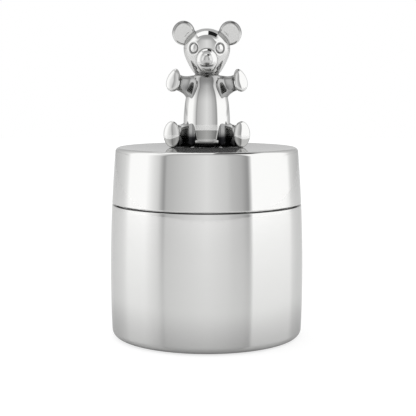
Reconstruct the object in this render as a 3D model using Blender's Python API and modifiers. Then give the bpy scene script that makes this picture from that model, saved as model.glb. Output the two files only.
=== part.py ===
"""Round keepsake box in polished silver plate, with a lift-off lid and a seated bear on it.

Metres, +Z up.  The origin is the middle of the face that the box stands on, the box's
axis is the Z axis, and the bear looks along -Y.
"""

import math

import bpy
from mathutils import Vector

# Outer form of the closed box
box_height = 0.0600
lid_height = 0.0176
belly_radius = 0.0305
belly_height = 0.0184
foot_draw = 0.0005
brow_draw = 0.00185
foot_corner_radius = 0.0022
lid_rim_radius = 0.00135
edge_chamfer = 0.00025

# Clearances
fit_gap = 0.0003
parting_gap = 0.0003
cut_overrun = 0.0010
weld_distance = 0.00001

# Cup, neck and grip ring
wall = 0.0015
floor_thickness = 0.0015
inner_corner_radius = 0.0008
foot_ring_width = 0.0025
neck_wall = 0.0015
neck_seat_depth = 0.0065
neck_rise_share = 0.52
groove_depth = 0.0009
groove_height_share = 0.34

# Linings and felt
felt_thickness = 0.0010
lining_thickness = 0.0010
card_thickness = 0.0010
pad_thickness = 0.0020
pad_edge_radius = 0.0008
cover_thickness = 0.0012

# Lid and the screw that holds the bear
lid_thickness = 0.0015
screw_radius = 0.0015
screw_grip_length = 0.0070
screw_head_radius = 0.00275
screw_head_height = 0.0018
screw_slot_width = 0.0007
screw_slot_depth = 0.0008
washer_radius = 0.0035
washer_thickness = 0.0005
key_radius = 0.0009
key_offset = 0.0046

# Bear: trunk and head
torso_height = 0.0220
torso_radius = 0.0074
head_sink = 0.0011
head_radius = 0.0073
head_crown = 0.0059
head_jaw = 0.0098
head_depth_share = 0.92
neck_peg_radius = 0.0015
neck_peg_length = 0.0030
snout_radius = 0.00305
snout_height = 0.0057
nose_radius = 0.0016
nose_rise = 0.0013
nose_proud = 0.0007
eye_width = 0.00266
eye_height = 0.00314
eye_spacing = 0.0086
eye_rise = 0.0096
eye_groove_radius = 0.0003

# Bear: ears, arms and legs
ear_radius = 0.00388
ear_thickness = 0.0030
ear_edge_radius = 0.0012
ear_spacing = 0.0145
ear_rise = 0.0143
ear_setback = 0.0006
ear_turn = math.radians(18)
ear_peg_radius = 0.0008
ear_peg_length = 0.0036
limb_turn = math.radians(50)
limb_peg_radius = 0.0012
limb_peg_share = 0.4
arm_reach = 0.0143
arm_height_share = 0.782
arm_rise = math.radians(12.5)
shoulder_radius = 0.0036
wrist_radius = 0.00245
paw_radius = 0.0034
leg_reach = 0.0148
hip_radius = 0.0039
ankle_radius = 0.0031
sole_radius = 0.00405

# Outlines, as shares of the sizes named beside them
# Trunk: (share of torso_height from the seat, share of torso_radius)
torso_shares = (
    (0.00, 0.66), (0.02, 0.78), (0.07, 0.90), (0.15, 0.965), (0.28, 1.00), (0.45, 0.985),
    (0.60, 0.945), (0.72, 0.88), (0.82, 0.78), (0.90, 0.65), (0.96, 0.50), (1.00, 0.36),
)
# Arm: (share of arm_reach from the trunk's axis, share of the named radius)
shoulder_shares = ((0.22, 0.96), (0.36, 1.03), (0.47, 1.00), (0.58, 0.88))
wrist_shares = ((0.68, 1.03), (0.75, 1.00), (0.80, 1.10))
paw_shares = ((0.84, 0.91), (0.885, 0.99), (0.925, 0.98), (0.96, 0.86), (0.985, 0.62), (0.996, 0.34))
# Leg: the same, along leg_reach
hip_shares = ((0.20, 0.90), (0.34, 1.00), (0.46, 0.98), (0.56, 0.88))
ankle_shares = ((0.65, 1.00), (0.73, 1.00), (0.78, 1.08))
sole_shares = ((0.82, 0.92), (0.865, 1.00), (0.915, 0.99), (0.955, 0.88), (0.983, 0.65), (0.996, 0.36))

# Fineness of the round pieces
box_sides = 48
bear_sides = 24
small_sides = 16
tiny_sides = 12
wall_steps = 5
corner_steps = 4
head_rows = 13
sharp_angle = math.radians(40)

# Heights and radii that follow from the sizes above
mouth_height = box_height - lid_height
felt_recess_top = felt_thickness + fit_gap
floor_top = felt_recess_top + floor_thickness
cup_top = mouth_height - parting_gap / 2
lid_bottom = mouth_height + parting_gap / 2
ceiling = box_height - lid_thickness
washer_top = ceiling - fit_gap
screw_head_top = washer_top - washer_thickness - fit_gap
screw_head_bottom = screw_head_top - screw_head_height
cover_top = ceiling - fit_gap
cover_pocket_top = screw_head_bottom - fit_gap
cover_bottom = cover_pocket_top - cover_thickness
neck_top = cup_top + (cover_bottom - cup_top) * neck_rise_share
groove_middle = (cup_top + neck_top) / 2
groove_height = (neck_top - cup_top) * groove_height_share
groove_top = groove_middle + groove_height / 2
groove_bottom = groove_middle - groove_height / 2
neck_seat_bottom = cup_top - neck_seat_depth
lining_bottom = floor_top + inner_corner_radius + fit_gap
lining_top = neck_seat_bottom - fit_gap
card_bottom = floor_top + fit_gap
card_top = card_bottom + card_thickness
pad_bottom = card_top + fit_gap
pad_top = pad_bottom + pad_thickness
seat = box_height + fit_gap
chin = seat + torso_height - head_sink
head_middle = chin + head_jaw
eye_level = chin + eye_rise
snout_level = chin + snout_height
ear_level = chin + ear_rise
arm_level = seat + torso_height * arm_height_share
leg_level = seat + max(sole_radius, hip_radius, ankle_radius)


def clear_scene():
    """Empty the file of the objects that it opens with."""
    for obj in list(bpy.data.objects):
        bpy.data.objects.remove(obj, do_unlink=True)


def new_collection(name):
    """A collection under the scene's own."""
    collection = bpy.data.collections.new(name)
    bpy.context.scene.collection.children.link(collection)
    return collection


def new_material(name, colour, metallic, roughness):
    """One Principled surface."""
    material = bpy.data.materials.new(name)
    material.use_nodes = True
    shader = material.node_tree.nodes["Principled BSDF"]
    shader.inputs["Base Color"].default_value = (*colour, 1)
    shader.inputs["Metallic"].default_value = metallic
    shader.inputs["Roughness"].default_value = roughness
    material.diffuse_color = (*colour, 1)
    return material


def silver(name):
    """Polished silver plate."""
    return new_material(name, (0.93, 0.93, 0.92), 1, 0.04)


def velvet(name):
    """Dark blue velvet."""
    return new_material(name, (0.03, 0.05, 0.13), 0, 0.9)


def empty(name, parent=None):
    """An axis that pieces hang on, at the box's own axis."""
    axis = bpy.data.objects.new(name, None)
    parts.objects.link(axis)
    axis.parent = parent
    return axis


def add_part(name, mesh, material, axis, place=(0, 0, 0), facing=None):
    """A named piece at its place, its own Z axis turned to face a direction."""
    mesh.materials.clear()
    mesh.materials.append(material)
    part = bpy.data.objects.new(name, mesh)
    parts.objects.link(part)
    part.parent = axis
    part.location = place
    if facing is not None:
        part.rotation_euler = facing.to_track_quat("Z", "Y").to_euler()
    return part


def add_cutter(name, mesh, place=(0, 0, 0), facing=None):
    """A helper shape that is cut away from a piece, or joined to it."""
    cutter = bpy.data.objects.new(name, mesh)
    cutters.objects.link(cutter)
    cutter.location = place
    if facing is not None:
        cutter.rotation_euler = facing.to_track_quat("Z", "Y").to_euler()
    cutter.hide_render = True
    cutter.display_type = "WIRE"
    return cutter


def combine(part, helper, operation):
    """Cut a helper shape away from a piece, or join it on."""
    boolean = part.modifiers.new(f"{operation.title()} {helper.name}", "BOOLEAN")
    boolean.operation = operation
    boolean.solver = "EXACT"
    boolean.object = helper


def cut(part, helper):
    combine(part, helper, "DIFFERENCE")


def join(part, helper):
    combine(part, helper, "UNION")


def turned(name, profile, sides, closed=False):
    """The mesh of a profile of (radius, height) points turned about the Z axis."""
    outline = bpy.data.meshes.new(name)
    corners = [(radius, 0, height) for radius, height in profile]
    edges = [(index, index + 1) for index in range(len(corners) - 1)]
    if closed:
        edges.append((len(corners) - 1, 0))
    outline.from_pydata(corners, edges, [])
    blank = bpy.data.objects.new(name, outline)
    bpy.context.scene.collection.objects.link(blank)
    screw = blank.modifiers.new("Turn", "SCREW")
    screw.axis = "Z"
    screw.steps = sides
    screw.render_steps = sides
    screw.use_merge_vertices = True
    screw.merge_threshold = weld_distance
    bpy.context.view_layer.update()
    graph = bpy.context.evaluated_depsgraph_get()
    mesh = bpy.data.meshes.new_from_object(blank.evaluated_get(graph))
    bpy.data.objects.remove(blank, do_unlink=True)
    bpy.data.meshes.remove(outline)
    mesh.name = name
    mesh.shade_smooth()
    mesh.set_sharp_from_angle(angle=sharp_angle)
    return mesh


def rod(name, radius, low, high, sides):
    """A plain cylinder along Z, as a mesh."""
    return turned(name, [(0, high), (radius, high), (radius, low), (0, low)], sides)


def arc(middle_radius, middle_height, radius, start, end, steps):
    """Points of an arc in the (radius, height) plane, angles in degrees from +radius."""
    points = []
    for step in range(steps + 1):
        angle = math.radians(start + (end - start) * step / steps)
        along = radius * math.cos(angle)
        points.append((middle_radius + along, middle_height + radius * math.sin(angle)))
    return points


def grown(profile, gap):
    """The same outline one gap further out, each point moved square to the line there."""
    points = [Vector(point) for point in profile]
    moved = []
    for index, point in enumerate(points):
        before = points[max(index - 1, 0)]
        after = points[min(index + 1, len(points) - 1)]
        along = (after - before).normalized()
        radius = point.x - gap * along.y if point.x > 0 else 0
        moved.append((radius, point.y + gap * along.x))
    top = moved[0][1] if points[0].x > 0 else points[0].y + gap
    low = moved[-1][1] if points[-1].x > 0 else points[-1].y - gap
    return [(moved[0][0], top), *moved[1:-1], (moved[-1][0], low)]


def side_radius(height):
    """Outer radius of the closed box: two half parabolas that meet at the belly."""
    if height < belly_height:
        share = (belly_height - height) / belly_height
        return belly_radius - foot_draw * share**2
    share = (height - belly_height) / (box_height - belly_height)
    return belly_radius - brow_draw * share**2


def side_points(top, low, inset, steps=wall_steps):
    """Points down the barrel line, set in from it by a distance."""
    heights = [top + (low - top) * step / steps for step in range(steps + 1)]
    return [(side_radius(height) - inset, height) for height in heights]


def felt_recess_radius():
    return side_radius(foot_corner_radius) - foot_corner_radius - foot_ring_width


def neck_radius():
    """The neck slips into the lid, whose bore is narrowest at the neck's top."""
    return side_radius(neck_top) - wall - fit_gap


def lining_inset():
    return wall + fit_gap + lining_thickness


def make_body_shell(axis):
    """The cup: barrel side, rounded foot, and a shallow recess for the felt."""
    inner_foot = side_radius(floor_top) - wall
    profile = [(0, floor_top)]
    profile += arc(
        inner_foot - inner_corner_radius, floor_top + inner_corner_radius,
        inner_corner_radius, 270, 360, corner_steps,
    )
    profile += side_points(cup_top - edge_chamfer, lining_bottom, wall)[::-1]
    profile.append((side_radius(cup_top) - wall + edge_chamfer, cup_top))
    profile.append((side_radius(cup_top) - edge_chamfer, cup_top))
    corner_height = fit_gap + foot_corner_radius
    profile += side_points(cup_top - edge_chamfer, corner_height, 0)
    profile += arc(
        side_radius(corner_height) - foot_corner_radius, corner_height,
        foot_corner_radius, 0, -90, corner_steps,
    )[1:]
    profile.append((felt_recess_radius(), fit_gap))
    profile.append((felt_recess_radius(), felt_recess_top))
    profile.append((0, felt_recess_top))
    mesh = turned("body_shell", profile, box_sides)
    add_part("body_shell", mesh, silver("cup_silver"), axis)


def make_neck_ring(axis):
    """The stepped collar soldered into the cup's mouth, with a groove for the grip ring."""
    outer = neck_radius()
    inner = outer - neck_wall
    floor = outer - groove_depth
    profile = [
        (outer - edge_chamfer, neck_top),
        (outer, neck_top - edge_chamfer),
        (outer, groove_top),
        (floor, groove_top),
        (floor, groove_bottom),
        (outer, groove_bottom),
        (outer, cup_top),
    ]
    profile += side_points(cup_top, neck_seat_bottom, wall + fit_gap, corner_steps)
    profile.append((inner, neck_seat_bottom))
    profile.append((inner, neck_top - edge_chamfer))
    profile.append((inner + edge_chamfer, neck_top))
    mesh = turned("neck_ring", profile, box_sides, closed=True)
    add_part("neck_ring", mesh, silver("neck_silver"), axis)


def make_grip_ring(axis):
    """The soft ring in the neck's groove, which the lid's wall squeezes."""
    inner = neck_radius() - groove_depth + fit_gap
    high = groove_top - fit_gap
    low = groove_bottom + fit_gap
    outer = side_radius(high) - wall - fit_gap
    bevel = (high - low) / 4
    profile = [
        (outer - bevel, high),
        (outer, high - bevel),
        (outer, low + bevel),
        (outer - bevel, low),
        (inner, low),
        (inner, high),
    ]
    mesh = turned("grip_ring", profile, box_sides, closed=True)
    material = new_material("clear_silicone", (0.75, 0.76, 0.76), 0, 0.35)
    add_part("grip_ring", mesh, material, axis)


def make_wall_lining(axis):
    """The velvet sleeve between the cup's floor and the neck."""
    outside = side_points(lining_top, lining_bottom, wall + fit_gap)
    inside = side_points(lining_top, lining_bottom, lining_inset())[::-1]
    mesh = turned("wall_lining", outside + inside, box_sides, closed=True)
    add_part("wall_lining", mesh, velvet("sleeve_velvet"), axis)


def make_floor_card(axis):
    radius = side_radius(lining_bottom) - lining_inset() - fit_gap
    mesh = rod("floor_card", radius, card_bottom, card_top, box_sides)
    material = new_material("grey_card", (0.45, 0.43, 0.40), 0, 0.9)
    add_part("floor_card", mesh, material, axis)


def make_floor_lining(axis):
    """The velvet pad on the floor card, with a rounded upper edge."""
    radius = side_radius(lining_bottom) - lining_inset() - fit_gap
    profile = [(0, pad_top)]
    profile += arc(
        radius - pad_edge_radius, pad_top - pad_edge_radius, pad_edge_radius, 90, 0, corner_steps
    )
    profile += [(radius, pad_bottom), (0, pad_bottom)]
    mesh = turned("floor_lining", profile, box_sides)
    add_part("floor_lining", mesh, velvet("floor_velvet"), axis)


def make_base_felt(axis):
    radius = felt_recess_radius() - fit_gap
    mesh = rod("base_felt", radius, 0, felt_thickness, box_sides)
    material = new_material("black_felt", (0.02, 0.02, 0.022), 0, 1)
    add_part("base_felt", mesh, material, axis)


def make_lid_shell(axis):
    """The lid: flat top, rounded rim, barrel side, and holes for the screw and the key."""
    rim_height = box_height - lid_rim_radius
    profile = [(0, box_height)]
    profile += arc(
        side_radius(rim_height) - lid_rim_radius, rim_height, lid_rim_radius, 90, 0, corner_steps
    )
    profile += side_points(rim_height, lid_bottom + edge_chamfer, 0, corner_steps)[1:]
    profile.append((side_radius(lid_bottom) - edge_chamfer, lid_bottom))
    profile.append((side_radius(lid_bottom) - wall + edge_chamfer, lid_bottom))
    profile += side_points(ceiling, lid_bottom + edge_chamfer, wall, corner_steps)[::-1]
    profile.append((0, ceiling))
    mesh = turned("lid_shell", profile, box_sides)
    lid = add_part("lid_shell", mesh, silver("lid_silver"), axis)
    low = ceiling - cut_overrun
    high = box_height + cut_overrun
    screw_hole = rod("screw_hole", screw_radius + fit_gap, low, high, small_sides)
    key_hole = rod("key_hole", key_radius + fit_gap, low, high, small_sides)
    cut(lid, add_cutter("screw_hole", screw_hole))
    cut(lid, add_cutter("key_hole", key_hole, (0, key_offset, 0)))


def make_lid_lining(axis):
    """The velvet pad inside the lid, hollowed over the screw's head and washer."""
    radius = side_radius(cover_top) - wall - fit_gap
    pocket = washer_radius + fit_gap
    profile = [
        (pocket, cover_top),
        (radius, cover_top),
        *arc(
            radius - pad_edge_radius, cover_bottom + pad_edge_radius,
            pad_edge_radius, 0, -90, corner_steps,
        ),
        (0, cover_bottom),
    ]
    profile = [(0, cover_pocket_top), (pocket, cover_pocket_top), *profile]
    mesh = turned("lid_lining", profile, box_sides)
    add_part("lid_lining", mesh, velvet("lid_velvet"), axis)


def make_figure_screw(axis):
    """The pan-head screw, driven upwards from inside the lid into the bear."""
    tip = seat + screw_grip_length
    bevel = screw_head_height / 3
    profile = [
        (0, tip),
        (screw_radius - edge_chamfer, tip),
        (screw_radius, tip - edge_chamfer),
        (screw_radius, screw_head_top),
        (screw_head_radius, screw_head_top),
        (screw_head_radius, screw_head_bottom + bevel),
        (screw_head_radius - bevel, screw_head_bottom),
        (0, screw_head_bottom),
    ]
    mesh = turned("figure_screw", profile, small_sides)
    material = new_material("screw_steel", (0.55, 0.55, 0.55), 1, 0.3)
    screw = add_part("figure_screw", mesh, material, axis)
    long_side = screw_head_radius * 2 + cut_overrun
    deep_side = screw_slot_depth * 2
    bpy.ops.mesh.primitive_cube_add(size=1)
    slot = bpy.context.object
    slot_mesh = slot.data
    bpy.data.objects.remove(slot, do_unlink=True)
    cutter = add_cutter("screw_slot", slot_mesh, (0, 0, screw_head_bottom))
    cutter.scale = (long_side, screw_slot_width, deep_side)
    cut(screw, cutter)


def make_screw_washer(axis):
    low = washer_top - washer_thickness
    hole = screw_radius + fit_gap
    profile = [(washer_radius, washer_top), (washer_radius, low), (hole, low), (hole, washer_top)]
    mesh = turned("screw_washer", profile, bear_sides, closed=True)
    material = new_material("washer_steel", (0.6, 0.6, 0.6), 1, 0.25)
    add_part("screw_washer", mesh, material, axis)


def torso_outline():
    """The trunk's outline, top to bottom, above its own foot."""
    points = [(torso_radius * wide, torso_height * high) for high, wide in torso_shares]
    return [(0, torso_height), *points[::-1], (0, 0)]


def torso_radius_at(height):
    """The trunk's radius at a height above the seat, read between its outline's points."""
    share = height / torso_height
    for (low, low_wide), (high, high_wide) in zip(torso_shares, torso_shares[1:]):
        if low <= share <= high:
            part = (share - low) / (high - low)
            return torso_radius * (low_wide + (high_wide - low_wide) * part)
    return torso_radius * torso_shares[-1][1]


def head_radius_at(height):
    """Half the head's width at a height above its middle: round above, longer in the jaw."""
    if height >= 0:
        return head_radius * math.sqrt(max(0, 1 - (height / head_crown) ** 2))
    return head_radius * math.sqrt(max(0, 1 - (-height / head_jaw) ** 1.5))


def head_outline():
    """The head's outline, crown to chin, about its middle."""
    points = []
    for row in range(1, head_rows):
        angle = math.pi * row / head_rows
        reach = head_crown if math.cos(angle) > 0 else head_jaw
        height = reach * math.cos(angle)
        points.append((head_radius_at(height), height))
    return [(0, head_crown), *points, (0, -head_jaw)]


def face_depth(across, height):
    """How far the face lies in front of the head's middle, at a place across and up it."""
    radius = head_radius_at(height - head_middle)
    return head_depth_share * math.sqrt(max(0, radius**2 - across**2))


def torso_cutter():
    """The trunk one gap larger, which shapes the roots of the limbs."""
    mesh = turned("torso_cutter", grown(torso_outline(), fit_gap), bear_sides)
    return add_cutter("torso_cutter", mesh, (0, 0, seat))


def head_cutter():
    """The head one gap larger, which shapes the neck, the ears and the shoulders."""
    mesh = turned("head_cutter", grown(head_outline(), fit_gap), bear_sides)
    cutter = add_cutter("head_cutter", mesh, (0, 0, head_middle))
    cutter.scale = (1, head_depth_share, 1)
    return cutter


def add_peg(owner, host, name, radius, low, high, place, facing):
    """A locating peg joined to one casting, and its socket cut in the other."""
    peg = rod(name, radius, low, high, tiny_sides)
    join(owner, add_cutter(name, peg, place, facing))
    socket = rod(name + "_socket", radius + fit_gap, low - fit_gap, high + fit_gap, tiny_sides)
    cut(host, add_cutter(name + "_socket", socket, place, facing))


def limb_direction(side, rise):
    """Where a limb points: out to its side, forwards, and up by its rise."""
    level = math.cos(rise)
    return Vector((
        side * math.sin(limb_turn) * level, -math.cos(limb_turn) * level, math.sin(rise)
    ))


def limb_outline(reach, groups):
    """A limb's outline from its outer end to its root, from (radius, shares) groups."""
    points = [
        (radius * wide, reach * along) for radius, shares in groups for along, wide in shares
    ]
    return [(0, reach), *points[::-1], (0, points[0][1])]


def make_torso(axis, shapes):
    mesh = turned("bear_torso", torso_outline(), bear_sides)
    torso = add_part("bear_torso", mesh, silver("torso_silver"), axis, (0, 0, seat))
    cut(torso, shapes["head"])
    bore_top = seat + screw_grip_length + fit_gap
    bore = rod("screw_bore", screw_radius + fit_gap, seat - cut_overrun, bore_top, small_sides)
    cut(torso, add_cutter("screw_bore", bore))
    key_top = seat + lid_thickness
    key = rod("torso_key", key_radius, ceiling + fit_gap, key_top, tiny_sides)
    join(torso, add_cutter("torso_key", key, (0, key_offset, 0)))
    return torso


def make_head(axis, torso):
    """The head with its muzzle, button nose, engraved eye rings and neck peg."""
    mesh = turned("bear_head", head_outline(), bear_sides)
    middle = (0, 0, head_middle)
    head = add_part("bear_head", mesh, silver("head_silver"), axis, middle)
    head.scale = (1, head_depth_share, 1)
    snout_place = Vector((0, -face_depth(0, snout_level), snout_level))
    snout = ball("snout", snout_radius)
    join(head, add_cutter("snout", snout, snout_place))
    nose_way = Vector((0, -math.sqrt(snout_radius**2 - nose_rise**2), nose_rise)).normalized()
    nose_place = snout_place + nose_way * (snout_radius + nose_proud - nose_radius)
    join(head, add_cutter("nose", ball("nose", nose_radius), nose_place))
    for side in (-1, 1):
        across = side * eye_spacing / 2
        depth = face_depth(across, eye_level)
        outward = Vector((across * head_depth_share, -depth / head_depth_share, 0))
        ring = eye_ring(f"eye_ring_{side}", (across, -depth, eye_level), outward)
        cut(head, ring)
    low = chin - head_middle - neck_peg_length
    high = chin - head_middle + neck_peg_length
    add_peg(head, torso, "neck_peg", neck_peg_radius, low, high, middle, Vector((0, 0, 1)))
    return head


def ball(name, radius):
    """A ball mesh about its own middle."""
    points = arc(0, 0, radius, 90, -90, tiny_sides - corner_steps)
    return turned(name, [(0, radius), *points[1:-1], (0, -radius)], small_sides)


def eye_ring(name, place, outward):
    """An upright oval ring lying in the face, to be engraved there."""
    bpy.ops.mesh.primitive_torus_add(
        major_radius=eye_width / 2, minor_radius=eye_groove_radius,
        major_segments=bear_sides, minor_segments=corner_steps * 2,
    )
    ring = bpy.context.object
    mesh = ring.data
    bpy.data.objects.remove(ring, do_unlink=True)
    cutter = add_cutter(name, mesh, place)
    cutter.rotation_euler = outward.to_track_quat("Z", "Y").to_euler()
    cutter.scale = (1, eye_height / eye_width, 1)
    return cutter


def make_ear(name, side, axis, head, shapes):
    """A coin-like ear with a rounded edge, hollowed to the head and pegged into it."""
    half = ear_thickness / 2
    inner = ear_radius - ear_edge_radius
    upper = arc(inner, half - ear_edge_radius, ear_edge_radius, 90, 0, corner_steps)
    lower = arc(inner, ear_edge_radius - half, ear_edge_radius, 0, -90, corner_steps)
    mesh = turned(name, [(0, half), *upper, *lower, (0, -half)], bear_sides)
    place = Vector((side * ear_spacing / 2, ear_setback, ear_level))
    facing = Vector((side * math.sin(ear_turn), -math.cos(ear_turn), 0))
    ear = add_part(name, mesh, silver(name + "_silver"), axis, place, facing)
    cut(ear, shapes["head"])
    inward = (Vector((0, 0, head_middle)) - place).normalized()
    add_peg(ear, head, name + "_peg", ear_peg_radius, 0, ear_peg_length, place, inward)
    return ear


def make_limb(name, side, axis, torso, shapes, reach, level, rise, groups):
    """A turned limb, its root shaped to the trunk and pegged into it."""
    outward = limb_direction(side, rise)
    mesh = turned(name, limb_outline(reach, groups), bear_sides)
    place = Vector((0, 0, level))
    limb = add_part(name, mesh, silver(name + "_silver"), axis, place, outward)
    cut(limb, shapes["torso"])
    cut(limb, shapes["head"])
    surface = torso_radius_at(level - seat)
    low = surface * (1 - limb_peg_share)
    high = surface * (1 + limb_peg_share)
    add_peg(limb, torso, name + "_peg", limb_peg_radius, low, high, place, outward)
    return limb


def make_bear(axis):
    """The seated bear: trunk, head, ears, arms and legs, each its own casting."""
    shapes = {"torso": torso_cutter(), "head": head_cutter()}
    torso = make_torso(axis, shapes)
    head = make_head(axis, torso)
    arm_groups = (
        (shoulder_radius, shoulder_shares), (wrist_radius, wrist_shares), (paw_radius, paw_shares)
    )
    leg_groups = (
        (hip_radius, hip_shares), (ankle_radius, ankle_shares), (sole_radius, sole_shares)
    )
    for word, side in (("left", 1), ("right", -1)):
        make_ear(f"bear_ear_{word}", side, axis, head, shapes)
        make_limb(
            f"bear_arm_{word}", side, axis, torso, shapes, arm_reach, arm_level, arm_rise, arm_groups
        )
        make_limb(
            f"bear_leg_{word}", side, axis, torso, shapes, leg_reach, leg_level, 0, leg_groups
        )


clear_scene()
parts = new_collection("keepsake_box")
cutters = new_collection("cutters")
box_axis = empty("box_axis")
turn_axis = empty("lid_turn_axis", box_axis)
lift_axis = empty("lid_lift_axis", turn_axis)

make_body_shell(box_axis)
make_neck_ring(box_axis)
make_wall_lining(box_axis)
make_floor_card(box_axis)
make_floor_lining(box_axis)
make_base_felt(box_axis)
make_grip_ring(turn_axis)
make_lid_shell(lift_axis)
make_lid_lining(lift_axis)
make_figure_screw(lift_axis)
make_screw_washer(lift_axis)
make_bear(lift_axis)
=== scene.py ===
# %% [markdown]
# # A silver keepsake box with a bear on its lid
#
# The object is a round trinket box, spun and cast in brass and plated with silver. Its cup
# is lined with velvet, its lid slips over a collar and lifts off, and a small cast bear
# sits on the lid. A mirror has hardly any colour of its own: what the eye reads as silver
# is the room that bends round it. So this lesson spends its effort on surfaces whose
# curvature never jumps, and on a studio that is worth reflecting.

import math

import bpy
import numpy as np
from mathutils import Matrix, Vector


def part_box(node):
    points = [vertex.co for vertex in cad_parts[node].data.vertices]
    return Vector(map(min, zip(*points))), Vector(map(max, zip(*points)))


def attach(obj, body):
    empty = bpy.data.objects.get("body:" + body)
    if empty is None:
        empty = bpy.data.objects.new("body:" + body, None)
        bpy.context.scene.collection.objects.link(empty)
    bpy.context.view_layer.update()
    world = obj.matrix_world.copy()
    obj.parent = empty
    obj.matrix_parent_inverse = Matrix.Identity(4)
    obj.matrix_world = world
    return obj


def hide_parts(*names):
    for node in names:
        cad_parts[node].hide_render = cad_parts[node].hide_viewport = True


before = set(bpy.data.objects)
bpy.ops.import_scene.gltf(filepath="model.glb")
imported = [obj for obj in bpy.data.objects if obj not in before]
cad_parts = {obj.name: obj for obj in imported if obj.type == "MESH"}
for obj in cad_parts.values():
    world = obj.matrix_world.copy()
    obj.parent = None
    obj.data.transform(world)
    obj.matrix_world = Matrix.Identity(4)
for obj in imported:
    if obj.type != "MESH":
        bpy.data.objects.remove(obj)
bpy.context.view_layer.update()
mm = 0.001

# %% [markdown]
# ## Helpers for colours and nodes
#
# Every material is a handful of nodes. One helper turns a written colour into linear light,
# one adds a node with its settings and links, and one lets the camera see another shader
# than all other rays do, for the background and the floor.

# %% Colours and nodes
def linear(hex_colour):
    """An sRGB hex colour as linear RGBA: c/12.92 when dark, else ((c + 0.055)/1.055)^2.4."""
    srgb = np.array([int(hex_colour[i:i + 2], 16) for i in (0, 2, 4)]) / 255
    light = np.where(srgb <= 0.04045, srgb / 12.92, ((srgb + 0.055) / 1.055) ** 2.4)
    return (*light.tolist(), 1.0)


def add_node(tree, kind, settings=None, inputs=None):
    """One node, of a kind named without its ShaderNode; an input is a value or an output."""
    node = tree.nodes.new("ShaderNode" + kind)
    for name, value in (settings or {}).items():
        setattr(node, name, value)
    for name, value in (inputs or {}).items():
        if isinstance(value, bpy.types.NodeSocket):
            tree.links.new(value, node.inputs[name])
        else:
            node.inputs[name].default_value = value
    return node


def by_ray(tree, for_others, for_camera):
    """One shader for the camera's own rays and another one for all the rest."""
    path = add_node(tree, "LightPath")
    inputs = {0: path.outputs["Is Camera Ray"], 1: for_others.outputs[0], 2: for_camera.outputs[0]}
    return add_node(tree, "MixShader", inputs=inputs).outputs[0]


# %% [markdown]
# ## Helpers for surfaces
#
# Every new piece is a grid of points worked out with numpy, rows by columns, and skin turns
# such a grid into a closed, smooth mesh. Turned parts come from a profile carried round the
# axis, as on a lathe. Cast parts follow a flowing curve, because a mirror shows the
# slightest kink.

# %% Surfaces
def skin(name, points, closed_rows=False, tarnish_and_painted_shade=None):
    """A mesh over a (rows, columns, 3) grid that closes on itself across its columns.

    Each cell (i, j) becomes the face of its four corners (i, j), (i+1, j), (i+1, j+1) and
    (i, j+1). Rows that run down the outside, with columns that run anticlockwise from
    above, give faces that point outwards. A row whose points all coincide is a pole: its
    cells become triangles. closed_rows joins the last row to the first, for a ring. The last
    argument is a share from 0 to 1 for each point, of tarnish and of painted shade, kept on
    the mesh for the plate's material.
    """
    rows, columns = points.shape[:2]
    index = np.arange(rows * columns).reshape(rows, columns)
    first_is_pole, last_is_pole = (np.ptp(points[row], axis=0).max() < 1e-9 for row in (0, -1))
    upper = index if closed_rows else index[:-1]
    lower = np.roll(index, -1, axis=0) if closed_rows else index[1:]
    cells = np.stack(
        [upper, lower, np.roll(lower, -1, axis=1), np.roll(upper, -1, axis=1)], axis=-1
    )
    kept = np.ones(cells.shape, dtype=bool)
    if first_is_pole:
        cells[0, :, 0] = index[0, 0]
        kept[0, :, 3] = False
    if last_is_pole:
        cells[-1, :, 1] = index[-1, 0]
        kept[-1, :, 2] = False
    sizes = kept.sum(axis=-1).ravel()
    used, flat = np.unique(cells[kept], return_inverse=True)
    mesh = bpy.data.meshes.new(name)
    mesh.vertices.add(len(used))
    mesh.vertices.foreach_set("co", points.reshape(-1, 3)[used].ravel())
    mesh.loops.add(len(flat))
    mesh.loops.foreach_set("vertex_index", flat.astype(np.int32))
    mesh.polygons.add(len(sizes))
    mesh.polygons.foreach_set("loop_start", (np.cumsum(sizes) - sizes).astype(np.int32))
    mesh.update(calc_edges=True)
    mesh.validate()
    mesh.shade_smooth()
    # The share of tarnish and painted shade goes on the mesh as an attribute for the plate.
    if tarnish_and_painted_shade is not None:
        shares = np.broadcast_to(tarnish_and_painted_shade, points.shape[:2]).ravel()[used]
        attribute = mesh.attributes.new("tarnish_and_painted_shade", "FLOAT", "POINT")
        attribute.data.foreach_set("value", shares.astype(np.float32))
    return mesh


def add_piece(name, points, material, body, node, closed_rows=False, tarnish_and_painted_shade=None):
    """The skin over a grid as an object at the origin, on its body, for one CAD node."""
    mesh = skin(name, points, closed_rows, tarnish_and_painted_shade)
    mesh.materials.append(material)
    piece = bpy.data.objects.new(name, mesh)
    bpy.context.scene.collection.objects.link(piece)
    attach(piece, body)
    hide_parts(node)
    print(f"{name}: {len(mesh.loops) - 2 * len(mesh.polygons)} triangles on {body}")
    return piece


# %% [markdown]
# ## Helpers for curves
#
# An arc, a straight run and a spline give all the profiles. A soft step and a bell curve
# place details, tarnish and painted shade.

# %% Curves
def turned(profile, columns):
    """A (rows, 2) profile of radius and height carried round the Z axis.

    Point (i, j) is (r_i cos t_j, r_i sin t_j, z_i), with t_j = 2 pi j / columns.
    """
    turn = 2 * np.pi * np.arange(columns) / columns
    radius, height = profile[:, :1], profile[:, 1:]
    return np.stack(
        np.broadcast_arrays(radius * np.cos(turn), radius * np.sin(turn), height), axis=-1
    )


def arc(middle, radius, start, end, steps):
    """Points of a circle's arc in the plane of radius and height, angles in degrees."""
    angle = np.radians(np.linspace(start, end, steps + 1))
    return np.column_stack([middle[0] + radius * np.cos(angle), middle[1] + radius * np.sin(angle)])


def straight(start, end, steps):
    """Evenly spaced points from start to end."""
    share = np.linspace(0, 1, steps + 1)[:, None]
    return np.asarray(start) * (1 - share) + np.asarray(end) * share


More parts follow.
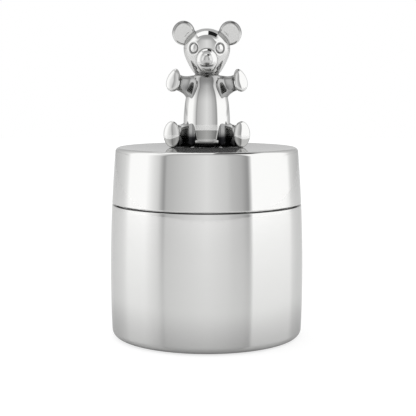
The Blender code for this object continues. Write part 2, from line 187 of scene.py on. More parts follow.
def flowing(points, steps):
    """A uniform cubic B-spline that follows a list of points: their radii, then a place.

    In each span the curve is the average of four neighbours, weighted (1-t)^3, 3t^3-6t^2+4,
    1+3t+3t^2-3t^3 and t^3, all over 6, so slope and curvature never jump. Both ends lie on
    the axis and are mirrored there, so that the skin closes square to the axis.
    """
    points = np.asarray(points, dtype=float)
    mirror = np.where(np.arange(points.shape[1]) < points.shape[1] - 1, -1, 1)
    guides = np.vstack([points[1] * mirror, points, points[-2] * mirror])
    place = np.linspace(0, len(points) - 1, steps + 1)
    span = np.minimum(place.astype(int), len(points) - 2)
    t = (place - span)[:, None]
    weights = [
        (1 - t) ** 3, 3 * t ** 3 - 6 * t ** 2 + 4, 1 + 3 * t + 3 * t ** 2 - 3 * t ** 3, t ** 3
    ]
    line = sum(weight * guides[span + k] for k, weight in enumerate(weights)) / 6
    line[[0, -1], :-1] = 0
    return line


def eased(value, low, high):
    """Passes softly from 0 to 1 between low and high: u^2 (3 - 2u)."""
    u = np.clip((value - low) / (high - low), 0, 1)
    return u ** 2 * (3 - 2 * u)


def bump(distance, width):
    """A bell curve, exp(-(distance/width)^2)."""
    return np.exp(-(distance / width) ** 2)


# %% [markdown]
# ## Camera
#
# The photograph looks at the box from a little above its middle, from about a third of a
# metre away, with a long lens: the bands of the box stay almost level. The parting line,
# the lid's near and far edge and the foot fix the height and the tilt.

# %% Camera
camera = bpy.data.objects.new("camera", bpy.data.cameras.new("camera"))
bpy.context.scene.collection.objects.link(camera)
camera.data.lens = 96.4
camera.data.sensor_width = 36
camera.location = (0, -0.3511, 0.0813)
camera_tilt = math.radians(6.607)
camera_pan = math.radians(0.058)
camera_roll = math.radians(-0.06)
camera.rotation_euler = (math.pi / 2 - camera_tilt, camera_roll, -camera_pan)
camera.data.clip_start = 0.01
camera.data.clip_end = 20
bpy.context.scene.camera = camera
bpy.context.scene.view_settings.view_transform = "Standard"

# %% [markdown]
# ## Studio: the tent's walls
#
# Silver is photographed inside a pale tent. Here the tent is painted straight on the
# world: a ring of tones by compass direction, with a tall white panel on the left and one
# on the right, grey cloth between them and a dark seam beside each panel. The metal mirrors
# the tent, but the camera itself sees plain white behind the box, as in the photograph.
#
# Bearings are in degrees: 0 is the camera's, 90 the picture's right, 180 behind the box.

# %% The tent's walls, by direction
wall_tones = (
    (-180, 0.72), (-175, 0.80), (-160, 0.76), (-148, 0.90), (-133, 1.03), (-121, 1.16),
    (-113, 1.38), (-107, 1.74), (-78, 1.74), (-69, 1.40), (-60, 1.10), (-56, 0.76),
    (-52.6, 0.53), (-49, 0.79), (-26, 1.02), (0, 1.26), (24, 1.02), (30, 0.87), (42, 0.73),
    (46, 0.62), (49.0, 0.53), (50.8, 0.55), (53.6, 1.0), (56.2, 1.74), (116, 1.74),
    (124, 1.22), (133, 1.02), (159, 0.77), (175, 0.80), (180, 0.72),
)
world = bpy.data.worlds.new("studio_tent")
bpy.context.scene.world = world
world.use_nodes = True
sky = world.node_tree
sky.nodes.clear()


def calculate(operation, first, second=0.0):
    """One step of arithmetic in the world's own tree."""
    inputs = {0: first, 1: second}
    return add_node(sky, "Math", {"operation": operation}, inputs).outputs[0]


direction = add_node(sky, "TexCoord").outputs["Generated"]
split = add_node(sky, "SeparateXYZ", inputs={"Vector": direction})
aim_x, aim_y, aim_z = (split.outputs[axis] for axis in "XYZ")
bearing = calculate("ARCTAN2", aim_x, calculate("MULTIPLY", aim_y, -1.0))
turn_share = calculate("ADD", calculate("DIVIDE", bearing, 2 * math.pi), 0.5)
walls = add_node(sky, "ValToRGB", inputs={"Fac": turn_share})
stops = walls.color_ramp.elements
for number, (degrees, wall_tone) in enumerate(wall_tones):
    place = degrees / 360 + 0.5
    stop = stops[number] if number < 2 else stops.new(place)
    stop.position = place
    stop.color = (wall_tone, wall_tone, wall_tone, 1)

# %% [markdown]
# ## Studio: the roof and the end of the table
#
# The walls reach high up before they turn into the roof's grey cloth, and the panels stop a
# little lower. Overhead hangs a small white window next to a black card: they give the pair
# of marks on the bear's brow and nose. Low behind the box the table ends in a slightly
# darker band, which the lid's top mirrors. Heights are the upward part of the direction, 0
# at the horizon and 1 overhead; window and card lie on a level plane.

# %% The tent's roof and the end of the table
ceiling_tone = 0.60
ceiling_start = (0.78, 0.97)
panel_start, panel_end = np.radians((60, 76)).tolist(), np.radians((104, 120)).tolist()
panel_top = (0.76, 0.88)
window = {"x": (-0.55, 0.07), "y": (0.0, 0.6), "tone": 1.8}
black_card = {"x": (0.07, 0.58), "y": (0.0, 0.6), "tone": 0.02}
patch_edge = 0.02
lowest_roof = 0.05
back_start = np.radians((104, 124)).tolist()
table_end_low, table_end_high = (0.012, 0.03), (0.046, 0.072)
table_end_tone = 0.74


def smooth_step(value, limits, from_tone=0.0, to_tone=1.0):
    """A soft change from one tone to another as the value passes between two limits."""
    inputs = {
        "Value": value, "From Min": limits[0], "From Max": limits[1],
        "To Min": from_tone, "To Max": to_tone,
    }
    settings = {"interpolation_type": "SMOOTHSTEP"}
    return add_node(sky, "MapRange", settings, inputs).outputs["Result"]


def between(value, rise, fall):
    """1 between a soft rise and a soft fall, and 0 outside them."""
    return calculate("MULTIPLY", smooth_step(value, rise), smooth_step(value, fall, 1.0, 0.0))


def mix_tones(share, first, second):
    """A tone between two tones, by a share from 0 to 1."""
    inputs = {"Factor": share, "A": first, "B": second}
    return add_node(sky, "Mix", {"data_type": "FLOAT"}, inputs).outputs["Result"]


level_turn = calculate("ABSOLUTE", bearing)
on_panel = between(level_turn, panel_start, panel_end)
beside_panel = calculate("SUBTRACT", 1.0, on_panel)
cloth_share = calculate("MULTIPLY", smooth_step(aim_z, ceiling_start), beside_panel)
panel_share = calculate("MULTIPLY", smooth_step(aim_z, panel_top), on_panel)
roof_share = calculate("ADD", cloth_share, panel_share)
tone = mix_tones(roof_share, walls.outputs["Color"], ceiling_tone)
safe_height = calculate("MAXIMUM", aim_z, lowest_roof)
roof_x = calculate("DIVIDE", aim_x, safe_height)
roof_y = calculate("DIVIDE", aim_y, safe_height)
for patch in (window, black_card):
    sides = []
    for value, (low, high) in ((roof_x, patch["x"]), (roof_y, patch["y"])):
        rise, fall = ((limit - patch_edge, limit + patch_edge) for limit in (low, high))
        sides.append(between(value, rise, fall))
    tone = mix_tones(calculate("MULTIPLY", *sides), tone, patch["tone"])
behind = smooth_step(level_turn, back_start)
table_end = calculate("MULTIPLY", behind, between(aim_z, table_end_low, table_end_high))
tone = calculate("MULTIPLY", tone, smooth_step(table_end, (0.0, 1.0), 1.0, table_end_tone))

tent = add_node(sky, "Background", inputs={"Color": tone, "Strength": 1.0})
plain = add_node(sky, "Background", inputs={"Color": (1, 1, 1, 1), "Strength": 1.0})
add_node(sky, "OutputWorld", inputs={"Surface": by_ray(sky, tent, plain)})
print("studio:", len(sky.nodes), "nodes")

# %% [markdown]
# ## Floor
#
# The box stands on glossy white board, which shows in the metal as a pale grey. Close to
# the foot its colour is painted darker, as painted shade from the box, rising over the
# first few centimetres, and a weak glow keeps the lower half of the cup pale. Seen by the
# camera it glows more, which takes it up to the white of the background and leaves a
# breath of shadow at the foot.

# %% Floor
board_radius = 1200 * mm
board_sides = 96
foot_shade = {"From Min": 24 * mm, "From Max": 90 * mm}
board_glow = 0.15
camera_glow = 0.72


def new_material(name):
    """An empty node material, its tree and its Object coordinates."""
    material = bpy.data.materials.new(name)
    material.use_nodes = True
    tree = material.node_tree
    tree.nodes.clear()
    return material, tree, add_node(tree, "TexCoord").outputs["Object"]


def mixed(tree, share, first, second):
    """A colour between two hex colours by a share from 0 to 1; 6 and 7 are their sockets."""
    inputs = {"Factor": share, 6: linear(first), 7: linear(second)}
    return add_node(tree, "Mix", {"data_type": "RGBA"}, inputs).outputs[2]


board_edge = turned(np.array([[board_radius, 0]]), board_sides)[0]
floor_mesh = bpy.data.meshes.new("floor")
floor_mesh.from_pydata(board_edge.tolist(), [], [list(range(board_sides))])
floor = bpy.data.objects.new("floor", floor_mesh)
bpy.context.scene.collection.objects.link(floor)
board, tree, place = new_material("glossy_white_board")
# Painted shade: the board's colour is darker near the foot.
from_box = add_node(tree, "VectorMath", {"operation": "LENGTH"}, {0: place})
clear_of_foot = add_node(
    tree, "MapRange", {"interpolation_type": "SMOOTHSTEP"},
    {"Value": from_box.outputs["Value"], "To Min": 0.0, "To Max": 1.0, **foot_shade},
).outputs["Result"]
coated = add_node(
    tree, "BsdfPrincipled",
    inputs={
        "Base Color": mixed(tree, clear_of_foot, "b4b4b4", "f3f3f3"), "Roughness": 0.10,
        "IOR": 1.9, "Emission Color": (1, 1, 1, 1), "Emission Strength": board_glow,
    },
)
matt = add_node(tree, "BsdfDiffuse", inputs={"Color": linear("a0a0a0")})
glow = add_node(tree, "Emission", inputs={"Color": (1, 1, 1, 1), "Strength": camera_glow})
lifted = add_node(tree, "AddShader", inputs={0: matt.outputs[0], 1: glow.outputs[0]})
add_node(tree, "OutputMaterial", inputs={"Surface": by_ray(tree, coated, lifted)})
floor_mesh.materials.append(board)

# %% [markdown]
# ## Silver plate
#
# Silver plate over brass, buffed with rouge: a nearly white metal whose mirror is only a
# touch soft. Buffing leaves a faint haze that varies over a few millimetres, and hairline
# marks far finer than a millimetre; both go into roughness and a whisper of bump. Where the
# wheel doesn't reach, a dark oxide stays, and painted shade darkens the plate under and
# between parts and on lower sides. Both are kept on the meshes as one share, which darkens
# the plate and makes it a little rougher. A breath of dust gives the sheen that lies as a
# haze on the lid's top.

# %% Silver plate
haze_size = 9 * mm
hairline_size = 0.35 * mm
buffed_roughness = (0.025, 0.055)
tarnish_and_shade_roughness = 0.16
dust_sheen = 0.10


def noise(tree, place, size, detail, roughness=0.5, distortion=0.0):
    """Noise whose coarsest grains are about one size across."""
    inputs = {
        "Vector": place, "Scale": 1 / size, "Detail": detail, "Roughness": roughness,
        "Distortion": distortion,
    }
    return add_node(tree, "TexNoise", inputs=inputs).outputs["Fac"]


def spread(tree, value, low, high):
    """A noise, which keeps mostly to 0.3 to 0.7, spread from low to high."""
    inputs = {"Value": value, "From Min": 0.3, "From Max": 0.7, "To Min": low, "To Max": high}
    return add_node(tree, "MapRange", inputs=inputs).outputs["Result"]


def relief(tree, height, strength, distance):
    """The normal of a fine relief."""
    inputs = {"Height": height, "Strength": strength, "Distance": distance}
    return add_node(tree, "Bump", inputs=inputs).outputs["Normal"]


def finish_with(tree, inputs):
    """The material's shader, with its constants on its own sockets, joined to the output."""
    shader = add_node(tree, "BsdfPrincipled", inputs=inputs)
    add_node(tree, "OutputMaterial", inputs={"Surface": shader.outputs[0]})


silver_plate, tree, place = new_material("buffed_silver_plate")
haze = spread(tree, noise(tree, place, haze_size, 3.0, 0.6), *buffed_roughness)
hairlines = noise(tree, place, hairline_size, 2.0)
# The share of tarnish and of painted shade that each mesh carries.
tarnish_and_shade_share = add_node(
    tree, "Attribute", {"attribute_type": "GEOMETRY", "attribute_name": "tarnish_and_painted_shade"}
).outputs["Fac"]
dulled = add_node(
    tree, "Math", {"operation": "MULTIPLY_ADD"},
    {0: tarnish_and_shade_share, 1: tarnish_and_shade_roughness, 2: haze},
)
# Tarnish and painted shade turn the plate's colour from c4c4c3 towards 1c1c1e and roughen it.
finish_with(tree, {
    "Base Color": mixed(tree, tarnish_and_shade_share, "c4c4c3", "1c1c1e"), "Metallic": 1.0,
    "Specular Tint": linear("e6e6e6"), "Roughness": dulled.outputs[0],
    "Sheen Weight": dust_sheen, "Sheen Roughness": 0.3,
    "Normal": relief(tree, hairlines, 0.02, 0.01 * mm),
})

# %% [markdown]
# ## The barrel line
#
# Cup and lid share one outline, which swells to its widest a third of the way up. It is
# two half parabolas that meet at the belly with the same upright tangent: the radius is
# the belly's, less a draw-in times the square of the share of the way to the end.

# %% The barrel line
box_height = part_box("lid_shell")[1][2]
belly_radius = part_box("body_shell")[1][0]
belly_height = 18.4 * mm
foot_draw = 0.5 * mm
brow_draw = 1.85 * mm


def barrel(height):
    """Radius at a height: belly - draw * share^2, share 0 at the belly, 1 at an end."""
    height = np.asarray(height, dtype=float)
    share = np.where(
        height < belly_height,
        (belly_height - height) / belly_height,
        (height - belly_height) / (box_height - belly_height),
    )
    return belly_radius - np.where(height < belly_height, foot_draw, brow_draw) * share ** 2


def barrel_run(top, low, inset, steps):
    """Points down the barrel line, set in from it."""
    heights = np.linspace(top, low, steps + 1)
    return np.column_stack([barrel(heights) - inset, heights])


def barrel_lean(height):
    """How far the outline leans from upright at a height, in degrees."""
    step = 0.01 * mm
    slope = float(barrel(height - step) - barrel(height + step)) / (2 * step)
    return math.degrees(math.atan(slope))


def round_end(level, radius, side):
    """The round that ends the barrel line without a kink, side 1 at the foot, -1 on top.

    It gives the line's lean where the two join, the height of that place and the middle.
    """
    middle = level + side * radius
    lean = -side * barrel_lean(middle)
    join = level + side * radius * (1 - math.sin(math.radians(lean)))
    return lean, join, (float(barrel(join)) - radius * math.cos(math.radians(lean)), middle)


print("radius on top in mm:", round(float(barrel(box_height)) / mm, 3))

# %% [markdown]
# ## Cup
#
# The cup is a shell of revolution: one profile that runs up the inside, over the rim and
# down the outside, carried round the axis. Its foot is an arc tangent to the barrel line.
# The edges that meet at the parting line are broken by a fifth of a millimetre, as a turner
# leaves them, so each catches a thin light. A recess underneath takes the felt.

# %% Cup
round_columns = 256
wall = 1.5 * mm
edge_radius = 0.22 * mm
seam_easing = 0.10 * mm
foot_radius = 2.2 * mm
floor_top = 2.8 * mm
recess_top = 1.3 * mm
felt_gap = 0.3 * mm
recess_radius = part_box("base_felt")[1][0] + felt_gap
inner_corner = 0.8 * mm
cup_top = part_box("body_shell")[1][2] - seam_easing
cup_radius = float(barrel(cup_top))
foot_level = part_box("body_shell")[0][2]
foot_lean, foot_join, foot_middle = round_end(foot_level, foot_radius, 1)
inner_foot = float(barrel(floor_top)) - wall
cup_profile = np.vstack([
    straight((0, floor_top), (inner_foot - inner_corner, floor_top), 12)[:-1],
    arc((inner_foot - inner_corner, floor_top + inner_corner), inner_corner, 270, 360, 8),
    barrel_run(cup_top - edge_radius, floor_top + inner_corner, wall, 24)[::-1][1:-1],
    arc((cup_radius - wall + edge_radius, cup_top - edge_radius), edge_radius, 180, 90, 6),
    arc((cup_radius - edge_radius, cup_top - edge_radius), edge_radius, 90, 4, 8),
    barrel_run(cup_top - edge_radius * 2, foot_join, 0, 60)[:-1],
    arc(foot_middle, foot_radius, -foot_lean, -90, 20),
    arc((recess_radius + edge_radius, foot_level + edge_radius), edge_radius, 270, 180, 5),
    straight((recess_radius, recess_top), (0, recess_top), 10),
])
add_piece(
    "cup", turned(cup_profile, round_columns), silver_plate, "box", "body_shell"
)

# %% [markdown]
# ## Lid
#
# The lid is a shell of the same kind and carries the barrel line up to a flat top. Its
# profile is a ring: from the screw's hole along the top, round the rim, down to the parting
# edge and back up the inside. The rim is an arc tangent to the barrel line, so the bright
# line along it stays even.

# %% Lid
rim_radius = 1.35 * mm
screw_hole = 1.8 * mm
lid_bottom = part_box("lid_shell")[0][2] + seam_easing
lid_radius = float(barrel(lid_bottom))
lid_under = box_height - wall
lid_inner = float(barrel(lid_under)) - wall
rim_lean, rim_join, rim_middle = round_end(box_height, rim_radius, -1)
lid_profile = np.vstack([
    straight((screw_hole, box_height), (rim_middle[0], box_height), 24)[:-1],
    arc(rim_middle, rim_radius, 90, rim_lean, 24),
    barrel_run(rim_join, lid_bottom + edge_radius * 2, 0, 36)[1:],
    arc((lid_radius - edge_radius, lid_bottom + edge_radius), edge_radius, -3, -90, 8),
    arc((lid_radius - wall + edge_radius, lid_bottom + edge_radius), edge_radius, 270, 180, 6),
    barrel_run(lid_under - inner_corner, lid_bottom + edge_radius * 2, wall, 20)[::-1],
    arc((lid_inner - inner_corner, lid_under - inner_corner), inner_corner, 0, 90, 8)[1:],
    straight((lid_inner - inner_corner, lid_under), (screw_hole, lid_under), 12)[1:],
])
add_piece(
    "lid", turned(lid_profile, round_columns), silver_plate, "lid", "lid_shell",
    closed_rows=True,
)

# %% [markdown]
# ## Collar
#
# The collar is a turned ring, soldered in the mouth of the cup, and carries the lid. A
# groove runs round it for the soft ring that takes up the play. Its outline is written
# corner by corner, each rounded a little, as a file leaves it.

# %% Collar
fine_columns = 192
neck_low, neck_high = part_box("neck_ring")
grip_low, grip_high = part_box("grip_ring")
fit_gap = 0.3 * mm
collar_thickness = 1.5 * mm
groove_depth = 0.9 * mm
collar_corner = 0.24 * mm
neck_top, seat_low = neck_high[2], neck_low[2]
neck_radius = float(barrel(neck_top)) - wall - fit_gap
neck_inner = neck_radius - collar_thickness
groove_floor = neck_radius - groove_depth
groove_top, groove_low = grip_high[2] + fit_gap, grip_low[2] - fit_gap


def softened(corners, radius, steps=4):
    """A closed outline whose corners are rounded.

    Each corner P becomes the quadratic curve (1-t)^2 A + 2t(1-t) P + t^2 B, where A and B
    lie one radius along its two sides.
    """
    corners = np.asarray(corners, dtype=float)
    before = np.roll(corners, 1, axis=0) - corners
    after = np.roll(corners, -1, axis=0) - corners
    lengths = [np.linalg.norm(side, axis=1, keepdims=True) for side in (before, after)]
    starts = corners + before / lengths[0] * np.minimum(radius, lengths[0] / 3)
    ends = corners + after / lengths[1] * np.minimum(radius, lengths[1] / 3)
    t = np.linspace(0, 1, steps + 1)[:, None, None]
    curve = (1 - t) ** 2 * starts + 2 * t * (1 - t) * corners + t ** 2 * ends
    return curve.transpose(1, 0, 2).reshape(-1, 2)


collar_corners = [
    (neck_radius, neck_top), (neck_radius, groove_top), (groove_floor, groove_top),
    (groove_floor, groove_low), (neck_radius, groove_low), (neck_radius, cup_top),
    *barrel_run(cup_top, seat_low, wall + fit_gap, 4), (neck_inner, seat_low),
    (neck_inner, neck_top),
]
add_piece(
    "collar", turned(softened(collar_corners, collar_corner), fine_columns), silver_plate,
    "box", "neck_ring", closed_rows=True,
)

# %% [markdown]
# ## The bear's trunk
#
# The bear is cast in pieces, soldered and buffed until it flows. Its trunk is turned on a
# flowing curve, given in shares of its full radius and height. A shallow ledge runs round
# it two millimetres above the lid. Painted shade darkens the plate under the ledge, towards
# the shoulders and at the throat.

# %% Trunk
lid_gap = 0.3 * mm
seat = box_height + lid_gap
torso_height = 22.0 * mm
torso_radius = 7.4 * mm
torso_outline = [
    (0, -0.012), (0.18, -0.012), (0.45, -0.012), (0.60, -0.010), (0.74, 0.004), (0.86, 0.036),
    (0.92, 0.062), (0.945, 0.076), (0.964, 0.087), (0.958, 0.0975), (0.934, 0.1035),
    (0.908, 0.106), (0.898, 0.111), (0.904, 0.121), (0.918, 0.140), (0.940, 0.170),
    (0.964, 0.210), (0.982, 0.258), (0.990, 0.32), (0.981, 0.44), (0.94, 0.60),
    (0.878, 0.72), (0.79, 0.81), (0.70, 0.87), (0.65, 0.92), (0.63, 0.97), (0.58, 1.01),
    (0.40, 1.03), (0.20, 1.035), (0, 1.035),
]
under_ledge, ledge_blend = seat + 1.7 * mm, 0.5 * mm
shoulders = seat + 20.6 * mm
shoulder_start, shoulder_full, throat_start = 7 * mm, 1 * mm, 2 * mm
throat_width = 2.2 * mm
# Painted shade on the trunk: under the ledge, towards the shoulders and at the throat.
painted_shade_under_ledge, painted_shade_at_shoulders, painted_shade_at_throat = 0.85, 0.36, 0.28
torso_profile = flowing(torso_outline, 220)[::-1] * (torso_radius, torso_height) + (0, seat)
torso_grid = turned(torso_profile, 160)
height = torso_profile[:, 1:]
throat = bump(torso_grid[..., 0], throat_width) * (torso_grid[..., 1] < 0)
torso_painted_shade = (
    painted_shade_under_ledge - painted_shade_under_ledge * eased(height, under_ledge - ledge_blend, under_ledge)
    + painted_shade_at_shoulders * eased(height, shoulders - shoulder_start, shoulders - shoulder_full)
    + painted_shade_at_throat * throat * eased(height, shoulders - throat_start, shoulders)
)
add_piece(
    "trunk", torso_grid, silver_plate, "lid", "bear_torso", tarnish_and_painted_shade=torso_painted_shade
)

# %% [markdown]
# ## The shape of an ear
#
# Each ear is a coin a little under three millimetres thick, slightly narrower than it is
# high, with an all but flat face and a generous round to its rim. Ear and head swell
# towards each other where they meet, like a soldered joint that was filed round. Both need
# the distance between them, so the ear's shape comes before the head.

# %% The shape of an ear
ear_radius = 3.80 * mm
ear_half = 1.35 * mm
ear_round = 1.1 * mm
ear_oval = np.array([0.93, 1, 1])
ear_turn = math.radians(-10)
ear_nod = math.radians(-16)
ear_out, ear_back, ear_rise = 7.30 * mm, 0.6 * mm, 14.35 * mm
ear_dome = 0.08 * mm
ear_fillet = 1.2 * mm
joint_width = 0.35 * mm
chin = seat + torso_height - 1.1 * mm

ear_face = np.linspace(0, ear_radius - ear_round, 44)[:-1]
dome = ear_dome * (1 - (ear_face / (ear_radius - ear_round)) ** 2) ** 2
ear_profile = np.vstack([
    np.column_stack([ear_face, ear_half + dome]),
    arc((ear_radius - ear_round, ear_half - ear_round), ear_round, 90, 0, 20),
    arc((ear_radius - ear_round, ear_round - ear_half), ear_round, 0, -90, 20),
    np.column_stack([ear_face, -ear_half - dome])[::-1],
])
ear_slope = np.gradient(ear_profile, axis=0)
ear_normals = np.column_stack([-ear_slope[:, 1], ear_slope[:, 0]])
ear_normals /= np.linalg.norm(ear_normals, axis=1, keepdims=True)


def unit(vector):
    """The same direction with a length of 1."""
    return vector / np.linalg.norm(vector)


def ear_axes(side):
    """An ear's own axes: Z looks out of its face, a little inwards and down, Y is upright."""
    level = math.cos(ear_nod)
    out = (side * math.sin(ear_turn) * level, -math.cos(ear_turn) * level, math.sin(ear_nod))
    z_axis = unit(np.array(out))
    x_axis = unit(np.cross((0, 0, 1), z_axis))
    return np.array([x_axis, np.cross(z_axis, x_axis), z_axis])


def ear_origin(side):
    """The middle of an ear."""
    return np.array([side * ear_out, ear_back, chin + ear_rise])


def ear_gap(points, side):
    """Distance from points to an ear, as a coin with a rounded rim.

    In the coin's own frame q = (radius - R + r, |z| - h + r); outside, the distance is
    |max(q, 0)| - r, and inside, max(q) - r.
    """
    own = (points - ear_origin(side)) @ ear_axes(side).T
    q = np.stack([
        np.hypot(own[..., 0], own[..., 1]) - ear_radius + ear_round,
        np.abs(own[..., 2]) - ear_half + ear_round,
    ], axis=-1)
    return np.linalg.norm(np.maximum(q, 0), axis=-1) + np.minimum(q.max(-1), 0) - ear_round


def fillet(gap):
    """How far both surfaces swell where they meet: w (1 - |gap|/w)^3 / 6."""
    return ear_fillet / 6 * np.maximum(1 - np.abs(gap) / ear_fillet, 0) ** 3


# %% [markdown]
# ## The head
#
# The head is a rounded pear, turned and then flattened a little. For each direction from
# its middle the skin's distance is read from the outline, and the muzzle's egg and the
# nose's ball are blended in with small fillets. The grid's pole sits on the muzzle, so the
# finest cells lie where the detail is, within fine_end degrees of it.

# %% Head
head_middle = np.array([0, 0, chin + 9.8 * mm])
head_depth = 0.92
head_outline = np.array([
    (0.0, 5.95), (1.4, 5.90), (2.9, 5.45), (4.4, 4.60), (5.7, 3.45), (6.7, 2.05), (7.25, 0.60),
    (7.30, -0.75), (7.05, -2.1), (6.55, -3.5), (5.90, -4.9), (5.15, -6.25), (4.35, -7.5),
    (3.4, -8.6), (2.3, -9.4), (1.15, -9.8), (0.0, -9.9),
]) * mm
muzzle_radius = np.array([3.45, 3.05, 3.85]) * mm
muzzle_middle = np.array([0, -6.05, -4.05]) * mm
muzzle_fillet = 0.45 * mm
nose_radius = 1.9 * mm
nose_tilt = math.radians(6)
nose_proud = 0.7 * mm
nose_fillet = 0.16 * mm
head_columns = 360
fine_end = 66


def head_reach(way):
    """Distance from the head's middle to the outline's skin along unit directions.

    The outline is turned about Z and flattened in Y, so the direction is stretched back in
    Y, its slope picks the outline's own distance, and the stretch is taken out again.
    """
    line = flowing(head_outline, 2000)
    slope = np.arctan2(line[:, 1], line[:, 0])
    stretched = way / np.array([1, head_depth, 1])
    flat = np.hypot(stretched[..., 0], stretched[..., 1])
    length = np.linalg.norm(stretched, axis=-1)
    reach = np.interp(np.arctan2(stretched[..., 2], flat), slope[::-1], np.hypot(*line.T)[::-1])
    return reach / length


def ball_reach(way, middle, radii):
    """Distance along unit directions to the far side of a ball or egg, 0 where it is missed.

    The radii are scaled to 1; then t solves |t d - c|^2 = 1, t = (d.c + sqrt(D)) / d.d.
    """
    d = way / radii
    c = middle / radii
    square = (d ** 2).sum(-1)
    along = (d * c).sum(-1)
    inside = along ** 2 - square * ((c ** 2).sum() - 1)
    return np.where(inside > 0, (along + np.sqrt(np.maximum(inside, 0))) / square, 0)


def blended(first, second, width):
    """The larger of two distances, with a fillet: add w (1 - |a-b|/w)^3 / 6 where close."""
    near = np.maximum(1 - np.abs(first - second) / width, 0)
    return np.maximum(first, second) + width * near ** 3 / 6


pole = unit(muzzle_middle)
side_axis = np.array([1.0, 0, 0])
up_axis = unit(np.cross(side_axis, pole))
angles = np.concatenate([np.linspace(0, fine_end, 150), np.linspace(fine_end, 180, 62)[1:]])
away = np.radians(angles)[:, None]
around = -2 * np.pi * np.arange(head_columns) / head_columns
way = (
    np.cos(away)[..., None] * pole
    + (np.sin(away) * np.sin(around))[..., None] * side_axis
    + (np.sin(away) * np.cos(around))[..., None] * up_axis
)
nose_way = np.array([0, -math.cos(nose_tilt), math.sin(nose_tilt)])
nose_middle = muzzle_middle + nose_way * (muzzle_radius[1] + nose_proud - nose_radius)
muzzle_reach = ball_reach(way, muzzle_middle, muzzle_radius)
nose_reach = ball_reach(way, nose_middle, np.full(3, nose_radius))
reach = blended(blended(head_reach(way), muzzle_reach, muzzle_fillet), nose_reach, nose_fillet)
print("from the head's middle to the muzzle:", round(float(reach[0, 0]) / mm, 2), "mm")

# %% [markdown]
# ## The face
#
# Eyes and mouth are engraved: smooth functions of the place on the face press them in. An
# eye is an oval line with a low ball inside and a faint lid round it. The mouth is a bent
# line with a short stem up to the nose. Every crease is darkened, partly by tarnish and
# partly by painted shade, which draws the face in the mirror, and painted shade darkens
# the underside of the chin.

# %% Face
eye_out, eye_drop = 4.10 * mm, 0.32 * mm
eye_half = np.array([1.22, 1.58]) * mm
eye_line_depth, eyeball_height, eyelid_height = 0.24 * mm, 0.16 * mm, 0.03 * mm
eye_line_width, eyeball_edge, eyelid_place, eyelid_width = 0.19, 0.95, 1.45, 0.16
smile_depth, smile_width, smile_half = 0.30 * mm, 0.26 * mm, 1.9 * mm
smile_drop, smile_bend = 2.0 * mm, 0.12 * mm
stem_depth, stem_width, stem_half, stem_drop = 0.22 * mm, 0.24 * mm, 0.4 * mm, 1.55 * mm
smile_end, stem_end = 0.12 * mm, 0.1 * mm
# Darkening of the mouth's lines, partly tarnish and partly painted shade; painted shade under the
# chin.
smile_tarnish_and_shade, stem_tarnish_and_shade, chin_painted_shade = 0.8, 0.6, 0.2
chin_start, chin_full = 6.6 * mm, 8.4 * mm
face_front, nose_lip = 3 * mm, 0.1 * mm
# Darkening in each crease, partly tarnish and partly painted shade: its share and width.
crease_darkening = {
    "muzzle": (0.45, 0.25 * mm), "nose": (0.35, 0.12 * mm), "eye": (0.8, 0.15),
    "ear": (0.12, joint_width),
}


def faded(distance, half, softness):
    """1 up to half a length and softly 0 beyond it: 1 / (1 + exp((|d| - half) / softness))."""
    return 1 / (1 + np.exp((np.abs(distance) - half) / softness))


def tarnish_and_shade_at(name, distance):
    """Tarnish and painted shade near a crease: its share, in a bell of its width."""
    share, width = crease_darkening[name]
    return share * bump(distance, width)


place = way * reach[..., None]
on_front = place[..., 1] < -face_front
# Creases darken, partly by tarnish and partly by painted shade.
tarnish_and_painted_shade = tarnish_and_shade_at("muzzle", head_reach(way) - muzzle_reach) * on_front
tarnish_and_painted_shade = tarnish_and_painted_shade + tarnish_and_shade_at("nose", reach - nose_reach - nose_lip)
for side in (-1, 1):
    across = (place[..., 0] - side * eye_out) / eye_half[0]
    up = (place[..., 2] + eye_drop) / eye_half[1]
    ring = np.where(place[..., 1] < 0, np.hypot(across, up), 9)
    reach = reach - eye_line_depth * bump(ring - 1, eye_line_width)
    reach = reach + eyeball_height * np.clip(1 - (ring / eyeball_edge) ** 2, 0, 1) ** 1.5
    reach = reach + eyelid_height * bump(ring - eyelid_place, eyelid_width)
    tarnish_and_painted_shade = tarnish_and_painted_shade + tarnish_and_shade_at("eye", ring - 1)
mouth_front = place[..., 1] < muzzle_middle[1]
mouth_x, mouth_z = place[..., 0], place[..., 2] - muzzle_middle[2]
smile = bump(mouth_z + smile_drop - smile_bend * (mouth_x / mm) ** 2, smile_width)
smile = smile * faded(mouth_x, smile_half, smile_end) * mouth_front
stem = bump(mouth_x, stem_width) * faded(mouth_z + stem_drop, stem_half, stem_end) * mouth_front
reach = reach - smile_depth * smile - stem_depth * stem
tarnish_and_painted_shade = tarnish_and_painted_shade + smile_tarnish_and_shade * smile + stem_tarnish_and_shade * stem
# Painted shade under the chin.
tarnish_and_painted_shade = tarnish_and_painted_shade + chin_painted_shade * eased(-place[..., 2], chin_start, chin_full)
grid = way * reach[..., None] + head_middle
for side in (-1, 1):
    gap = ear_gap(grid, side)
    reach = reach + fillet(gap)
    tarnish_and_painted_shade = tarnish_and_painted_shade + tarnish_and_shade_at("ear", gap)
add_piece(
    "head", way * reach[..., None] + head_middle, silver_plate, "lid",
    "bear_head", tarnish_and_painted_shade=np.clip(tarnish_and_painted_shade, 0, 1),
)

# %% [markdown]
# ## The ears
#
# Each coin is set in its place and swells where it meets the head. Painted shade darkens the
# upper part of the rim, where the dark crescents lie, and tarnish and painted shade darken
# the joint.

# %% Ears
ear_columns = 224
rim_start, rim_full = ear_radius - 0.7 * mm, ear_radius - 0.3 * mm
rim_fade = 1.0 * mm
